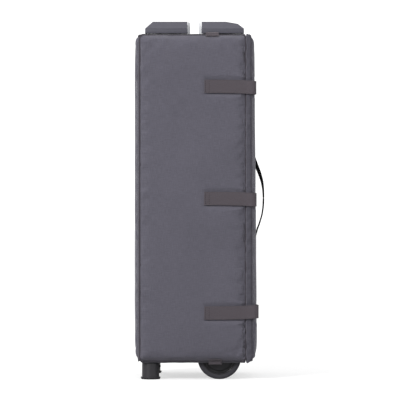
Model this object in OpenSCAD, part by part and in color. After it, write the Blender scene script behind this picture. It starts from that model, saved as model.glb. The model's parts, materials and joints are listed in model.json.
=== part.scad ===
// Travel playpen, folded and wrapped in its own four-panel mattress.
// +Z is up, -Y is the face that the closing straps fasten on, and +X is the side with the carry handle.

/* [Mattress wrap] */
// Outer width of the wrapped mattress, the same both ways
pack_w = 243; // [236:0.1:292]
// Height of the mattress panels
mat_h = 686; // [670:1:830]
// Thickness of one mattress panel
mat_t = 14.5; // [12:0.5:16]
// Thickness of the fabric cover of a panel
skin_t = 1.2; // [0.8:0.1:2]
// Thickness of the fibreboard inside each panel
board_t = 3; // [2:0.5:4]
// Height of the mattress's lower edge above the floor
lift = 34; // [33:1:40]

/* [Straps] */
// Width of a closing strap
strap_w = 28; // [20:1:40]
// Thickness of a closing strap
strap_t = 2.2; // [1.5:0.1:3]
// Length of strap that lies on the front panel
strap_reach = 101; // [70:1:110]
// Length of strap sewn to the handle side
strap_sewn = 62; // [40:1:80]
// Distance of the upper strap's middle from the mattress's top edge
strap_from_top = 110; // [70:1:130]
// Distance of the lower strap's middle from the mattress's bottom edge
strap_from_base = 105; // [70:1:130]

/* [Handle] */
// Distance between the ends of the carry loop
handle_span = 156; // [120:1:180]
// How far the carry loop stands out of the side
handle_reach = 26; // [23:0.5:34]
// Width of the carry webbing
handle_w = 25; // [16:1:30]
// Thickness of the carry webbing
handle_t = 2.4; // [1.5:0.1:3]

/* [Frame] */
// Diameter of the corner posts
post_d = 20; // [17:0.5:24]
// Room between a post and the mattress around it
post_gap = 7.8; // [7.5:0.1:9]
// Diameter of the top rail tubes
rail_d = 19; // [16:0.1:23]
// Diameter of the floor tubes
base_d = 17; // [14:0.5:18]
// Wall thickness of all tubes
tube_wall = 1.2; // [0.8:0.1:2]
// Length of one half of a long top rail, from pin to latch
long_rail = 378; // [320:1:430]
// Length of one half of a short top rail, from pin to latch
short_rail = 233; // [180:1:300]
// Height of the hub above the floor while the frame is folded
hub_z = 552; // [540:1:575]

/* [Corner mouldings] */
// Height of a corner moulding
head_h = 25; // [22:1:32]
// Width of each arm of a corner moulding
arm_w = 38; // [35:1:42]
// Gap between neighbouring corner mouldings
head_gap = 29; // [24:1:36]
// Distance from the mattress's face in to a corner moulding's face
head_inset = 18.5; // [17:0.5:22]
// Height and depth of the bevel along the mouldings' outer edges
head_bevel = 16; // [8:1:17]

/* [Feet and wheels] */
// Outer diameter of a wheel
wheel_d = 91; // [75:0.1:94]
// Width of a wheel
wheel_w = 20; // [14:1:20]
// Diameter of a foot's barrel
foot_d = 36; // [30:1:38]
// Diameter of a foot's bottom flange
flange_d = 41; // [38:1:46]

/* [Hidden] */
$fn = 64;
e = 0.01;                                 // overshoot of cuts
fit = 0.1;                                // gap of a seated piece, each side
run = 0.08;                               // radial clearance of a shaft that turns
air = 0.3;                                // gap between bodies that move apart
sit = 0.1;                                // gap under a piece that is sewn on

half = pack_w / 2;
cav = half - mat_t;                       // inner faces of the mattress
mat_top = lift + mat_h;

post_at = cav - post_gap - post_d / 2;
head_out = half - head_inset;
head_z = mat_top + 1;
band_h = 9;                               // plain band under the bevelled cap
post_in = band_h + 2;                     // how far a post runs up into its moulding
pin_d = 6;
pin_in = 5;                               // a rail's pin stops this far inside its moulding's face
slot_top = head_z + head_h - 9;           // the rails' slots stay clear of the bevels
pin_z = slot_top - 6;
rail_x = head_gap / 2 + rail_d / 4;       // a rail's end shows past its arm
rail_y = head_out - arm_w / 2;
slot_w = rail_d + 2;
rail_top = slot_top - 1;

latch_w = 2 * rail_x + rail_d + 18;
latch_t = rail_d + 8;
latch_h = 58;
latch_drop = 34;                          // housing below the rails' hinge line
button = [25, 15, 9];
button_out = 5;
button_travel = 4;

hub_r = 50;
hub_h = 36;
hub_well_r = 22;
hub_wall = 4;
base_at = post_at - 27.2;                 // a floor tube's lower pin, in from the post
base_low = [base_at, base_at, 80];
base_high = [35, 35, hub_z];
ear_gap = 0.7;                            // each side of a floor tube in its clevis
ear_w = base_d + 2 * ear_gap + 8;
ear_l = 24;
ear_below = 16;
ear_above = 14;

wheel_x = post_at - 37.7;
wheel_r = wheel_d / 2;
wheel_face = cav - 5;                     // outer face of a wheel
plate_y = wheel_face - wheel_w - 3;       // outer face of the plate that carries the axle
plate_t = 8.5;
plate_w = 34;
axle_r = 4;
block_z = wheel_d + 2;
block_h = 15;
block_x = wheel_x - 21.5;                 // inner ends of the block over a wheel
block_y = base_at - 8;
plug_h = 30;

foot_out = 2.5;                           // a foot's barrel stands outside its post's centre
flange_h = 4.5;
barrel_top = lift - 0.8;
neck_d = post_d + 9;
neck_top = 84;
web_l = (post_at - base_at) * sqrt(2) - 6.5;
web_t = 4;
web_h = 18;

strap_gap = 0.7;
bend_r = 1;
strap_zs = [lift + strap_from_base, lift + mat_h / 2, mat_top - strap_from_top];
strap_tip = half - strap_reach;
patch_t = 0.4;
patch_in = 8;                             // the loop patch starts this far under the strap's end
patch_end = 28;                           // and stops this far from the pack's side

handle_off = 3.5;                         // the loop's swing axis, out from the side
handle_z = strap_zs[1];
handle_sag = handle_reach - handle_off - handle_t / 2;
handle_r = (pow(handle_span / 2, 2) + handle_sag * handle_sag) / (2 * handle_sag);
handle_a = asin(handle_span / 2 / handle_r);
handle_end_w = 6;
handle_taper = 20;
sewn_w = 30;
sewn_l = 40;
sewn_t = 2;
neck_out = handle_off + handle_t / 2 - sit;
neck_l = 6;

top_tab_x = 35;
low_tab_x = 43;
tab_w = 27;
tab_t = 1.4;
tab_drop = 9;

fold_t = 2.4;
fold_lap = 3.5;                           // a panel's seam runs this far round its folded corner
fold_short = 4;                           // a fold strip stops this far inside the mattress's edges

wall_low = 120;
wall_high = mat_top - 20;
wall_gap = 3;                             // between the gathered fabric and the frame beside it
wall_d = post_d + wall_gap - 0.5;         // the bundles of two sides pass each other at the corners

shift_x = -handle_reach / 2;
shift_y = (strap_gap + strap_t) / 2;

CORNERS = [["front_left", -1, -1], ["front_right", 1, -1], ["back_left", -1, 1], ["back_right", 1, 1]];
SIDES = [["front", 0], ["back", 180], ["left", -90], ["right", 90]];
FOLDS = [["front_left", 0], ["back_left", -90], ["back_right", 180]];
STRAPS = ["bottom", "middle", "top"];
RUNNERS = [["front", -1], ["back", 1]];

slate = "#65636e";
seam = "#4b4a52";
webbing = "#5c565e";
plastic = "#4a4a50";
steel = "#b9bbc0";

// ---- placing ----

// The pack's own centre line, moved so that the origin is under the middle of everything
module pack() translate([shift_x, shift_y, 0]) children();

// Takes a piece made in the front left quarter to corner c
module at_corner(c) mirror([c[1] > 0 ? 1 : 0, 0, 0]) mirror([0, c[2] > 0 ? 1 : 0, 0]) children();

// Takes a piece made at the front to side s
module at_side(s) rotate([0, 0, s[1]]) children();

// Takes a wheel-side piece made at the front to runner s
module at_runner(s) mirror([0, s[1] > 0 ? 1 : 0, 0]) children();

function rail_len(s) = abs(s[1]) == 90 ? short_rail : long_rail;

// ---- plain shapes ----

module box(low, high) translate(low) cube(high - low);

module tube(d, h, wall = tube_wall)
    difference() {
        cylinder(d = d, h = h);
        translate([0, 0, -e]) cylinder(d = d - 2 * wall, h = h + 2 * e);
    }

// A round bar along Y, from y0 to y1
module bar_y(r, y0, y1) translate([0, y1, 0]) rotate([90, 0, 0]) cylinder(r = r, h = y1 - y0);

// Anything drawn along Z, laid from point a to point b
module along(a, b) {
    d = b - a;
    translate(a) rotate([0, acos(d[2] / norm(d)), atan2(d[1], d[0])]) children();
}

// Turns X towards the pack's middle, at a point of the front left quarter
module inward(p) translate(p) rotate([0, 0, 45]) children();

// ---- mattress ----

// A panel lies along X from x0 to x1 with its outer face at y = -half
module cover(x0, x1)
    color(slate) difference() {
        box([x0, -half, lift], [x1, -cav, mat_top]);
        box([x0 + skin_t, -half + skin_t, lift + skin_t], [x1 - skin_t, -cav - skin_t, mat_top - skin_t]);
    }

module board(x0, x1)
    color("peru") box(
        [x0 + skin_t + fit, -half + skin_t + fit, lift + skin_t + fit],
        [x1 - skin_t - fit, -half + skin_t + fit + board_t, mat_top - skin_t - fit]);

module foam(x0, x1)
    color("ivory") box(
        [x0 + skin_t + fit, -half + skin_t + 2 * fit + board_t, lift + skin_t + fit],
        [x1 - skin_t - fit, -cav - skin_t - fit, mat_top - skin_t - fit]);

// Places a panel piece at side s. The handle side also covers the front panel's edge, and the others
// run a little way round their fold
module panel(s, layer) {
    start = s[0] == "right" ? -half : -cav - fold_lap;
    at_side(s) {
        if (layer == "cover") cover(start, cav - air);
        if (layer == "board") board(start, cav - air);
        if (layer == "foam") foam(start, cav - air);
    }
}

// The strip of cover fabric round the folded corner at angle turn
module fold(turn) {
    from = asin(air / (mat_t - fold_t));
    to = 90 - asin((fold_lap + air) / (mat_t - fold_t));
    color(seam) rotate([0, 0, turn]) translate([-cav, -cav, lift + fold_short])
        rotate([0, 0, 180 + from]) rotate_extrude(angle = to - from)
            translate([mat_t - fold_t, 0]) square([fold_t, mat_h - 2 * fold_short]);
}

// ---- straps, handle and tabs ----

module strap(z)
    color(webbing) translate([0, 0, z - strap_w / 2]) {
        box([strap_tip, -half - strap_gap - strap_t, 0], [half - bend_r, -half - strap_gap, strap_w]);
        translate([half - bend_r, -half + bend_r, 0]) rotate([0, 0, -90]) rotate_extrude(angle = 90)
            translate([bend_r + strap_gap, 0]) square([strap_t, strap_w]);
    }

module strap_anchors()
    color(webbing) for (z = strap_zs)
        translate([half + strap_gap, -half + bend_r + air, z - strap_w / 2])
            cube([strap_t, strap_sewn, strap_w]);

module loop_patches()
    color(seam) for (z = strap_zs)
        translate([strap_tip + patch_in, -half - sit - patch_t, z - strap_w / 2])
            cube([strap_reach - patch_in - patch_end, patch_t, strap_w]);

// Outline of the flat loop: full width in the middle and drawn in at both ends
module loop_outline() {
    quarter = [[handle_span / 2 - handle_taper, handle_w / 2], [handle_span / 2, handle_end_w / 2]];
    for (m = [0, 1]) mirror([m, 0, 0])
        polygon([[0, -handle_w / 2], for (i = [0, 1]) [quarter[i][0], -quarter[i][1]],
            for (i = [1, 0]) quarter[i], [0, handle_w / 2]]);
}

module carry_handle()
    color("black") intersection() {
        translate([half + handle_off + handle_sag - handle_r, 0, handle_z])
            rotate([90, 0, 0]) rotate([0, 0, -handle_a]) translate([0, 0, -handle_w / 2])
                rotate_extrude(angle = 2 * handle_a, $fn = 128)
                    translate([handle_r - handle_t / 2, 0]) square([handle_t, handle_w]);
        translate([half, 0, handle_z]) rotate([0, 90, 0]) linear_extrude(handle_reach + 10) loop_outline();
    }

// The ends of the loop, sewn flat, each with the neck that the loop swings on
module handle_anchors()
    color("black") for (m = [0, 1]) translate([half + sit, 0, handle_z]) mirror([0, 0, m]) {
        translate([0, -sewn_w / 2, handle_span / 2 + air]) cube([sewn_t, sewn_w, sewn_l]);
        translate([0, -handle_end_w / 2, handle_span / 2 + air]) cube([neck_out, handle_end_w, neck_l]);
    }

// A tab folded over the mattress's edge, drawn for the top one
module edge_tab()
    translate([-tab_w / 2, -half - sit, mat_top + sit]) {
        translate([0, -tab_t, -tab_drop]) cube([tab_w, tab_t, tab_drop + tab_t]);
        translate([0, -tab_t, 0]) cube([tab_w, mat_t, tab_t]);
    }

module edge_tabs()
    color(webbing) {
        translate([top_tab_x, 0, 0]) edge_tab();
        translate([low_tab_x, 0, 2 * lift + mat_h]) mirror([0, 0, 1]) edge_tab();
    }

// ---- frame ----

function post_low(c) = c[1] < 0 ? barrel_top + 6 : block_z + block_h;

module post(c)
    color(steel) at_corner(c) translate([-post_at, -post_at, post_low(c)])
        tube(post_d, head_z + post_in - post_low(c));

// Plan of a corner moulding: two arms that meet over the post
module arms(cut = 0)
    difference() {
        translate([-head_out, -head_out]) square(head_out - head_gap / 2 - cut);
        translate([-head_out + arm_w, -head_out + arm_w]) square(head_out);
    }

module rail_slots(low, high)
    for (m = [0, 1]) mirror([m, -m, 0])
        box([-rail_x - rail_d / 2 - 2, -rail_y - slot_w / 2, low], [0, -rail_y + slot_w / 2, high]);

module pin_holes(d)
    for (m = [0, 1]) mirror([m, -m, 0])
        translate([-rail_x, 0, pin_z]) bar_y(d / 2, -head_out + pin_in - fit, -head_out + arm_w + e);

module post_hole()
    translate([-post_at, -post_at, head_z - e]) cylinder(d = post_d + 2 * fit, h = post_in + fit);

module corner_band(c)
    color(plastic) at_corner(c) difference() {
        translate([0, 0, head_z]) linear_extrude(band_h) arms();
        rail_slots(head_z - e, head_z + band_h + e);
        pin_holes(pin_d + 2 * fit);
        post_hole();
    }

// The slope across a cap's top: level on the foot side, and falling away on the wheel side
module cap_profile(fall)
    polygon([[-head_out, 0], [0, 0], [0, head_h - band_h - fit],
        [-head_out + head_bevel + 22 * fall, head_h - band_h - fit],
        [-head_out + head_bevel - 3 * fall, head_h - band_h - fit - 4.5 * fall],
        [-head_out, head_h - band_h - fit - head_bevel + 1]]);

module corner_caps()
    color(plastic) for (c = CORNERS) at_corner(c) difference() {
        intersection() {
            translate([0, 0, head_z + band_h + fit]) linear_extrude(head_h) arms(0.5);
            translate([0, 0, head_z + band_h + fit]) rotate([90, 0, 0])
                linear_extrude(head_out) cap_profile(c[1] > 0 ? 1 : 0);
            translate([0, 0, head_z + band_h + fit]) mirror([1, -1, 0]) rotate([90, 0, 0])
                linear_extrude(head_out) cap_profile(0);
        }
        rail_slots(head_z, slot_top);
        pin_holes(pin_d + 2 * fit);
        post_hole();
    }

module rails(s)
    color(steel) at_side(s) for (m = [-1, 1]) translate([m * rail_x, -rail_y, 0]) difference() {
        low = pin_z - rail_len(s) - 8;
        translate([0, 0, low]) tube(rail_d, rail_top - low);
        translate([0, 0, pin_z]) bar_y(pin_d / 2 + fit, -rail_d, rail_d);
    }

function latch_z(s) = pin_z - rail_len(s);

module rail_latches()
    color(plastic) for (s = SIDES) at_side(s) translate([0, -rail_y, latch_z(s)]) difference() {
        box([-latch_w / 2, -latch_t / 2, -latch_drop], [latch_w / 2, latch_t / 2, latch_h - latch_drop]);
        for (m = [-1, 1]) {
            translate([m * rail_x, 0, -8 - fit]) cylinder(d = rail_d + 2 * fit, h = latch_h);
            translate([m * rail_x, 0, -latch_drop + 12])
                bar_y(pin_d / 2, -latch_t / 2 - e, -latch_t / 2 + 2);
        }
        translate([-button[0] / 2 - air, -button[1] / 2 - air, -latch_drop - e])
            cube([button[0] + 2 * air, button[1] + 2 * air, button[2] - button_out + button_travel + 1]);
    }

module rail_button(s)
    color("dimgray") at_side(s)
        translate([-button[0] / 2, -rail_y - button[1] / 2, latch_z(s) - latch_drop - button_out])
            cube(button);

module pivot_pins()
    color("silver") {
        for (c = CORNERS) at_corner(c) {
            for (m = [0, 1]) mirror([m, -m, 0])
                translate([-rail_x, 0, pin_z]) bar_y(pin_d / 2, -head_out + pin_in, -head_out + arm_w - 2);
            inward([-base_low[0], -base_low[1], base_low[2]]) bar_y(pin_d / 2, -ear_w / 2, ear_w / 2);
            inward([-base_high[0], -base_high[1], hub_z]) bar_y(pin_d / 2, -base_d / 2 - 4, base_d / 2 + 4);
        }
    }

module floor_tubes()
    color(steel) for (c = CORNERS) at_corner(c) {
        low = [-base_low[0], -base_low[1], base_low[2]];
        high = [-base_high[0], -base_high[1], base_high[2]];
        len = norm(high - low);
        difference() {
            along(low, high) translate([0, 0, -10]) tube(base_d, len + 20);
            inward(low) bar_y(pin_d / 2 + fit, -base_d, base_d);
            inward(high) bar_y(pin_d / 2 + fit, -base_d, base_d);
        }
    }

// ---- hub ----

module hub_body()
    color(plastic) translate([0, 0, hub_z]) difference() {
        translate([0, 0, -hub_h / 2]) cylinder(r = hub_r, h = hub_h);
        translate([0, 0, -hub_h / 2 + hub_wall]) cylinder(r = hub_well_r, h = hub_h);
        for (c = CORNERS) at_corner(c) inward([-base_high[0], -base_high[1], 0]) {
            box([-30, -base_d / 2 - ear_gap, -hub_h], [base_d / 2 + 4, base_d / 2 + ear_gap, hub_h]);
            bar_y(pin_d / 2 + fit, -base_d / 2 - 4 - fit, base_d / 2 + 4 + fit);
        }
    }

module hub_cap()
    color(plastic) translate([0, 0, hub_z + hub_h / 2 + fit]) difference() {
        cylinder(r1 = hub_well_r + 12, r2 = hub_well_r + 6, h = 6);
        translate([-13, -2.5, -e]) cube([26, 5, 6 + 2 * e]);
    }

module hub_pull()
    color(webbing) translate([0, 0, hub_z + hub_h / 2]) {
        translate([-12, -1.2, -24]) cube([24, 2.4, 42]);
        translate([-17, -6, -hub_h + hub_wall + 1]) cube([34, 12, 3 + e * 2]);
        translate([-12, -1.2, -hub_h + hub_wall + 3]) cube([24, 2.4, 12]);
        translate([-12, 0, 30]) rotate([0, 90, 0]) difference() {
            cylinder(r = 13.5, h = 24);
            translate([0, 0, -e]) cylinder(r = 11.2, h = 24 + 2 * e);
        }
    }

// ---- feet and wheels ----

// The block that holds the lower end of a floor tube
module clevis()
    inward([-base_low[0], -base_low[1], base_low[2]])
        box([-ear_l / 2, -ear_w / 2, -ear_below], [ear_l / 2, ear_w / 2, ear_above]);

// What is cut from a clevis and all round it: the tube's slot, up to height top, and the pin's hole
module clevis_cut(top)
    inward([-base_low[0], -base_low[1], base_low[2]]) {
        box([-ear_l / 2 - 2, -base_d / 2 - ear_gap, -ear_below - e], [ear_l, base_d / 2 + ear_gap, top]);
        bar_y(pin_d / 2 + fit, -ear_w, ear_w);
    }

module foot(s)
    color(plastic) at_runner(s) difference() {
        union() {
            translate([-post_at - foot_out, -post_at - foot_out, 0]) {
                cylinder(d1 = flange_d - 3, d2 = flange_d, h = flange_h / 2);
                translate([0, 0, flange_h / 2]) cylinder(d = flange_d, h = flange_h / 2);
                cylinder(d = foot_d, h = barrel_top);
                translate([foot_d / 2 - 1, 0, barrel_top - 6]) rotate([0, 90, 0]) cylinder(d = 5, h = 4);
            }
            translate([-post_at, -post_at, barrel_top - 1])
                cylinder(d = neck_d, h = neck_top - barrel_top + 1);
            inward([-base_low[0], -base_low[1], base_low[2] - ear_below])
                for (m = [-1, 1]) translate([-web_l, m * (ear_w - web_t) / 2 - web_t / 2, 0])
                    cube([web_l - ear_l / 2 + 1, web_t, web_h]);
            clevis();
        }
        translate([-post_at, -post_at, post_low([0, -1]) - fit])
            cylinder(d = post_d + 2 * fit, h = neck_top);
        clevis_cut(ear_above + e);
    }

// Made in the front left quarter and mirrored to the wheel side
module wheel_bracket(s)
    color(plastic) at_runner(s) mirror([1, 0, 0]) difference() {
        union() {
            box([-post_at, -post_at - post_d / 2, block_z], [-block_x, -block_y, block_z + block_h]);
            box([-post_at - post_d / 2, -post_at, block_z], [-block_x, -block_y, block_z + block_h]);
            translate([-post_at, -post_at, block_z]) cylinder(d = post_d, h = block_h);
            translate([-post_at, -post_at, block_z + block_h - e])
                cylinder(d = post_d - 2 * tube_wall - 2 * fit, h = plug_h);
            box([-wheel_x - plate_w / 2, -plate_y, wheel_r],
                [-wheel_x + plate_w / 2, -plate_y + plate_t, block_z + 1]);
            translate([-wheel_x, 0, wheel_r]) bar_y(plate_w / 2, -plate_y, -plate_y + plate_t);
            clevis();
        }
        translate([-wheel_x, 0, wheel_r]) bar_y(axle_r + fit, -plate_y - e, -plate_y + plate_t + e);
        clevis_cut(max(block_z + block_h - base_low[2], ear_above) + e);
    }

module wheel_axles()
    color("silver") for (s = RUNNERS) at_runner(s) translate([wheel_x, 0, wheel_r]) {
        bar_y(axle_r, -wheel_face + 3, -plate_y + plate_t + 2);
        bar_y(axle_r + 2.5, -plate_y + plate_t + fit, -plate_y + plate_t + 3);
    }

// Rings about Y: u is the radius and v runs in from the wheel's outer face
module turned(s)
    at_runner(s) translate([wheel_x, -wheel_face, wheel_r]) rotate([-90, 0, 0])
        rotate_extrude($fn = 96) children();

module rim(s)
    color(plastic) turned(s) polygon([
        [0, 0], [wheel_r - 19.5, 0], [wheel_r - 17.5, 1.5], [wheel_r - 17.5, 8], [wheel_r - 12.5, 8],
        [wheel_r - 12.5, 1.2], [wheel_r - 11.5, 0.2], [wheel_r - 9.5, 0.2], [wheel_r - 9.5, wheel_w - 0.2],
        [wheel_r - 12.5, wheel_w - 0.2], [wheel_r - 12.5, 12], [15, 12], [15, wheel_w + 1],
        [axle_r + run, wheel_w + 1], [axle_r + run, 2.5], [0, 2.5]]);

module tyre(s)
    color("#4b4a4f") turned(s) polygon([
        [wheel_r - 9.5, 0.5], [wheel_r - 3, 0], [wheel_r - 0.9, 0.9], [wheel_r, 3],
        [wheel_r, wheel_w - 3], [wheel_r - 0.9, wheel_w - 0.9], [wheel_r - 3, wheel_w],
        [wheel_r - 9.5, wheel_w - 0.5]]);

// ---- fabric sides ----

// The side's fabric, gathered into two bundles between the rails and the posts
module wall(s)
    color(slate) at_side(s) for (m = [0, 1]) mirror([m, 0, 0])
        box([-post_at + post_d / 2 + wall_gap, -cav + post_gap, wall_low],
            [-latch_w / 2 - wall_gap, -cav + post_gap + wall_d, wall_high]);

// ---- the pack ----

pack() {
    for (s = SIDES) {
        panel(s, "cover");
        panel(s, "foam");
        panel(s, "board");
        rails(s);
        rail_button(s);
        wall(s);
    }
    for (f = FOLDS)
        fold(f[1]);
    for (i = [0:2])
        strap(strap_zs[i]);
    strap_anchors();
    loop_patches();
    carry_handle();
    handle_anchors();
    edge_tabs();
    for (c = CORNERS) {
        post(c);
        corner_band(c);
    }
    corner_caps();
    rail_latches();
    pivot_pins();
    hub_body();
    hub_cap();
    hub_pull();
    floor_tubes();
    for (s = RUNNERS) {
        foot(s);
        wheel_bracket(s);
        tyre(s);
        rim(s);
    }
    wheel_axles();
}
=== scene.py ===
"""Folded travel playpen: fabric, webbing, mouldings and finishes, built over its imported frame."""

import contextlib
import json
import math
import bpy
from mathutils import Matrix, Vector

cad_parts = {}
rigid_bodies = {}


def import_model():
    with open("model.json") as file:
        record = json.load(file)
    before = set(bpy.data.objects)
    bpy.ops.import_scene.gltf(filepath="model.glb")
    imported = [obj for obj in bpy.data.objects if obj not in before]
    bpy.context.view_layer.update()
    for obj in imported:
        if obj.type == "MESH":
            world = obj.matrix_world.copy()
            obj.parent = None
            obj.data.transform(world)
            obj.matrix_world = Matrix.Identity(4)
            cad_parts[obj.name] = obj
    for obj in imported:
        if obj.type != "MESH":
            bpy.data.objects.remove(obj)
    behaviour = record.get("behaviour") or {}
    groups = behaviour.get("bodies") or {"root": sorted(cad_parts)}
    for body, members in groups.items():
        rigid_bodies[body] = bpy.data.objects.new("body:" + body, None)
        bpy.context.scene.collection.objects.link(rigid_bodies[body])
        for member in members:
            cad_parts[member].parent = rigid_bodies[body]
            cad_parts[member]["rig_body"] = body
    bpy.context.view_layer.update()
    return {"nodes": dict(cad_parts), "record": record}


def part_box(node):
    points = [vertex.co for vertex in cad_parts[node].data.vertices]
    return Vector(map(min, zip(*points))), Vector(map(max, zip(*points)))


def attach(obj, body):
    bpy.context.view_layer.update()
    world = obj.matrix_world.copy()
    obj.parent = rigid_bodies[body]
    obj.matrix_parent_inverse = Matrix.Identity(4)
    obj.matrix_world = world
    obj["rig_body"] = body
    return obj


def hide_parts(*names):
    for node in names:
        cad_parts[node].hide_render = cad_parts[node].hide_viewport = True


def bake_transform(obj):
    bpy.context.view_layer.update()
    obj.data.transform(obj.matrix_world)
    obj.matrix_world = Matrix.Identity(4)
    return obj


bl_info = {
    "name": "Folded Playpen",
    "version": (1, 0, 0),
    "blender": (4, 5, 0),
    "location": "View3D > Sidebar > Playpen",
    "description": "Builds the mattress wrap, straps, mouldings and finishes of a folded travel playpen",
    "category": "Add Mesh",
}

import bpy
import numpy as np
from mathutils import Matrix, Vector, noise

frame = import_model()
NODES = frame["nodes"]

SIDES = {"front": 0, "right": 90, "back": 180, "left": -90}
BODY_OF_SIDE = {"front": "frame", "left": "left_panel", "back": "back_panel", "right": "right_panel"}
FOLDS = {"front_left": (0, "frame", "left_panel"), "back_left": (-90, "left_panel", "back_panel"),
         "back_right": (180, "back_panel", "right_panel")}
STRAPS = ("top", "middle", "bottom")
HINGED = {"front": (1, 0), "left": (1, 1), "back": (1, 1), "right": (0, 1)}
SLOTS = {part["node"]: part["material_slot"] for part in frame["record"]["subparts"]}
FINISH_OF_SLOT = {
    "tube": "Powder coat", "corner_moulding": "Corner plastic", "button_moulding": "Button plastic",
    "pin": "Zinc plate", "foot_moulding": "Foot plastic", "rim_moulding": "Rim plastic",
    "tyre": "Tyre tread", "loop_tape": "Loop tape", "webbing": "Pull webbing"}
ROUNDED = ("corner_moulding", "foot_moulding", "button_moulding", "rim_moulding", "tyre")
DOUBLE = 0.00001

low_left, low_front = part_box("left_cover")[0].x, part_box("front_cover")[0].y
high_right, high_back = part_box("right_cover")[1].x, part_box("back_cover")[1].y
CENTRE = Vector(((low_left + high_right) / 2, (low_front + high_back) / 2, 0))
HALF = (high_right - low_left) / 2


def turned(degrees):
    return Matrix.Rotation(math.radians(degrees), 3, "Z")


def local_box(node, turn=0):
    """A node's box as seen with the side at that turn facing -Y, from the pack's centre line"""
    low, high = (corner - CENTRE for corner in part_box(node))
    ends = [turned(-turn) @ low, turned(-turn) @ high]
    return tuple(Vector(pick(e[k] for e in ends) for k in range(3)) for pick in (min, max))


# ---------------------------------------------------------------- settings

def length_prop(name, text, default, low=0.0, high=1.0):
    return bpy.props.FloatProperty(name=name, description=text, default=default, min=low, max=high,
                                   subtype="DISTANCE", unit="LENGTH", precision=4)


def colour_prop(name, text, default):
    return bpy.props.FloatVectorProperty(name=name, description=text, default=default, min=0, max=1,
                                         size=3, subtype="COLOR_GAMMA")


class MattressSettings(bpy.types.PropertyGroup):
    colour: colour_prop("Fabric", "Colour of the mattress's outer fabric", (0.324, 0.317, 0.355))
    # The binding is darker than the face fabric: partly the tape's own colour, partly painted shade for the
    # shadow lines along the seams
    binding_colour: colour_prop("Binding", "Colour of the tape round each panel", (0.235, 0.220, 0.246))
    thread_colour: colour_prop("Thread", "Colour of the stitching", (0.130, 0.122, 0.140))
    puff: length_prop("Puff", "How far a panel's outer face swells", 0.0028, 0, 0.006)
    seam_in: length_prop("Seam depth", "From the outer face in to the side seams", 0.0040, 0.001, 0.007)
    overhang: length_prop("Overhang", "How far the seams stand past a panel at its folds", 0.0042, 0, 0.006)
    slump: length_prop("Slump", "How far the handle side stands out at its foot", 0.0060, 0, 0.008)
    crease: length_prop("Crease", "Depth of the furrow between a face and its binding", 0.0022, 0, 0.004)
    seam_end: length_prop("End seam depth", "From the outer face in to the end seams", 0.0086, 0.001, 0.011)
    pucker: length_prop("Pucker", "Height of the gathers along the seams", 0.0024, 0, 0.004)
    corner: length_prop("Corner radius", "Rounding of a panel's corners", 0.0055, 0.002, 0.03)
    rise: length_prop("Lower seam", "Height of the lower seam above the edge", 0.0055, 0.001, 0.01)
    drop: length_prop("Upper seam", "From the upper edge down to the upper seam", 0.0030, 0.001, 0.01)
    binding_w: length_prop("Binding width", "Width of the tape along the seams", 0.0034, 0.002, 0.01)
    binding_t: length_prop("Binding thickness", "Thickness of the folded tape", 0.0016, 0.0004, 0.003)
    stitch: length_prop("Stitch length", "Distance from stitch to stitch", 0.0042, 0.002, 0.01)


class StrapSettings(bpy.types.PropertyGroup):
    colour: colour_prop("Webbing", "Colour of the closing straps", (0.290, 0.268, 0.288))
    handle_colour: colour_prop("Carry loop", "Colour of the carry loop's webbing", (0.050, 0.048, 0.052))
    thickness: length_prop("Thickness", "Thickness of the strap webbing", 0.0015, 0.0005, 0.003)
    stand_off: length_prop("Stand-off", "How far a strap bows out round the corner", 0.0070, 0.001, 0.012)
    hem: length_prop("Hem", "Length folded back at a strap's free end", 0.012, 0.004, 0.03)
    twist: bpy.props.FloatProperty(name="Twist", description="Twist of the carry loop near its upper end",
                                   default=math.radians(12), subtype="ANGLE")


class FrameSettings(bpy.types.PropertyGroup):
    moulding_colour: colour_prop("Mouldings", "Colour of corners, latches and hub", (0.280, 0.277, 0.312))
    foot_colour: colour_prop("Feet", "Colour of the feet and wheel brackets", (0.140, 0.136, 0.151))
    rim_colour: colour_prop("Rims", "Colour of the wheels' rims", (0.137, 0.134, 0.143))
    tyre_colour: colour_prop("Tyres", "Colour of the soft treads", (0.175, 0.171, 0.192))
    tube_colour: colour_prop("Tubes", "Colour of the powder-coated tubes", (0.800, 0.806, 0.820))
    wall_colour: colour_prop("Side fabric", "Colour of the gathered sides", (0.360, 0.355, 0.395))
    edge: length_prop("Edge radius", "Rounding of the mouldings' edges", 0.0007, 0.0002, 0.002)


class StageSettings(bpy.types.PropertyGroup):
    floor_colour: colour_prop("Floor", "Colour of the studio floor", (0.70, 0.70, 0.70))
    ambient: bpy.props.FloatProperty(name="Ambient", description="Strength of light all round", default=1.22)
    distance: length_prop("Camera distance", "From the pack's front to the camera", 6.0, 1, 20)
    view_width: length_prop("View width", "Width of the picture at the pack's front", 0.831, 0.3, 3)
    aim_x: length_prop("Aim X", "Where the camera looks, across", -0.0016, -1, 1)
    aim_z: length_prop("Aim Z", "Height that the camera looks at", 0.374, 0, 1)
    rise: length_prop("Camera rise", "How far the camera stands above its aim", 0.06, 0, 2)


class PlaypenSettings(bpy.types.PropertyGroup):
    mattress: bpy.props.PointerProperty(type=MattressSettings)
    straps: bpy.props.PointerProperty(type=StrapSettings)
    frame: bpy.props.PointerProperty(type=FrameSettings)
    stage: bpy.props.PointerProperty(type=StageSettings)


def linear(colour):
    """A display colour as the shaders take it"""
    return [c / 12.92 if c <= 0.04045 else ((c + 0.055) / 1.055) ** 2.4 for c in colour] + [1.0]


# ---------------------------------------------------------------- shader groups

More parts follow.
